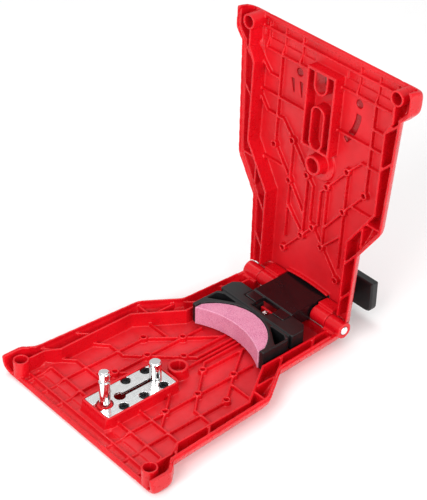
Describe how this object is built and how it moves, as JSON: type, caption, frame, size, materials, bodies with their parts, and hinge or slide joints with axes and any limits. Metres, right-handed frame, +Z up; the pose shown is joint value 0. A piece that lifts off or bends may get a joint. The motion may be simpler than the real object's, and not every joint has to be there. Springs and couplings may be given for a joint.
{
  "type": "saw chain sharpener",
  "caption": "Hinged clamshell chain sharpener with a sprung push slide, a crescent grinding stone and a pin plate that locates a guide bar.",
  "frame": {"origin": "middle of the base shell's flat underside, on the plane it rests on", "axes": "+Z up; +X from the open head, where the guide bar enters, to the hinge and the push paddle; +Y across"},
  "size_m": [0.2282, 0.1546, 0.2043],
  "materials": {
    "red_plastic": "moulded, semi-gloss",
    "black_plastic": "moulded, satin",
    "pink_stone": "fine sintered abrasive",
    "bright_metal": "bright nickel plate",
    "black_screw": "black oxide"
  },
  "bodies": {
    "base": {"base_shell": "red_plastic", "hinge_pin_far": "bright_metal", "hinge_pin_near": "bright_metal", "pin_plate": "bright_metal", "plate_screw_far_1": "black_screw", "plate_screw_near_1": "black_screw", "plate_screw_far_2": "black_screw", "plate_screw_near_2": "black_screw", "plate_screw_far_3": "black_screw", "plate_screw_near_3": "black_screw", "front_bar_pin": "bright_metal", "return_spring": "bright_metal"},
    "lid": {"lid_shell": "red_plastic", "lid_lug_far": "red_plastic", "lid_lug_near": "red_plastic"},
    "carriage": {"grinding_stone": "pink_stone", "stone_carriage": "black_plastic", "slide_plate": "black_plastic", "push_paddle": "black_plastic", "carriage_screw_far": "black_screw", "carriage_screw_near": "black_screw", "paddle_screw_far": "black_screw", "paddle_screw_near": "black_screw"},
    "pin_slider": {"sliding_bar_pin": "bright_metal", "sliding_pin_washer": "bright_metal", "sliding_pin_nut": "bright_metal"}
  },
  "joints": [
    {"name": "lid_hinge", "type": "hinge", "parent": "base", "child": "lid", "pos_m": [0.095, 0, 0.0145], "axis": [0, -1, 0], "range_deg": [0, 92.7]},
    {"name": "stone_slide", "type": "slide", "parent": "base", "child": "carriage", "axis": [-1, 0, 0], "range_m": [0, 0.013], "stiffness_N_per_m": 300, "springref_m": -0.006, "deforming": ["return_spring"]},
    {"name": "pin_adjust", "type": "slide", "parent": "base", "child": "pin_slider", "axis": [-1, 0, 0], "range_m": [0, 0.0175]}
  ]
}
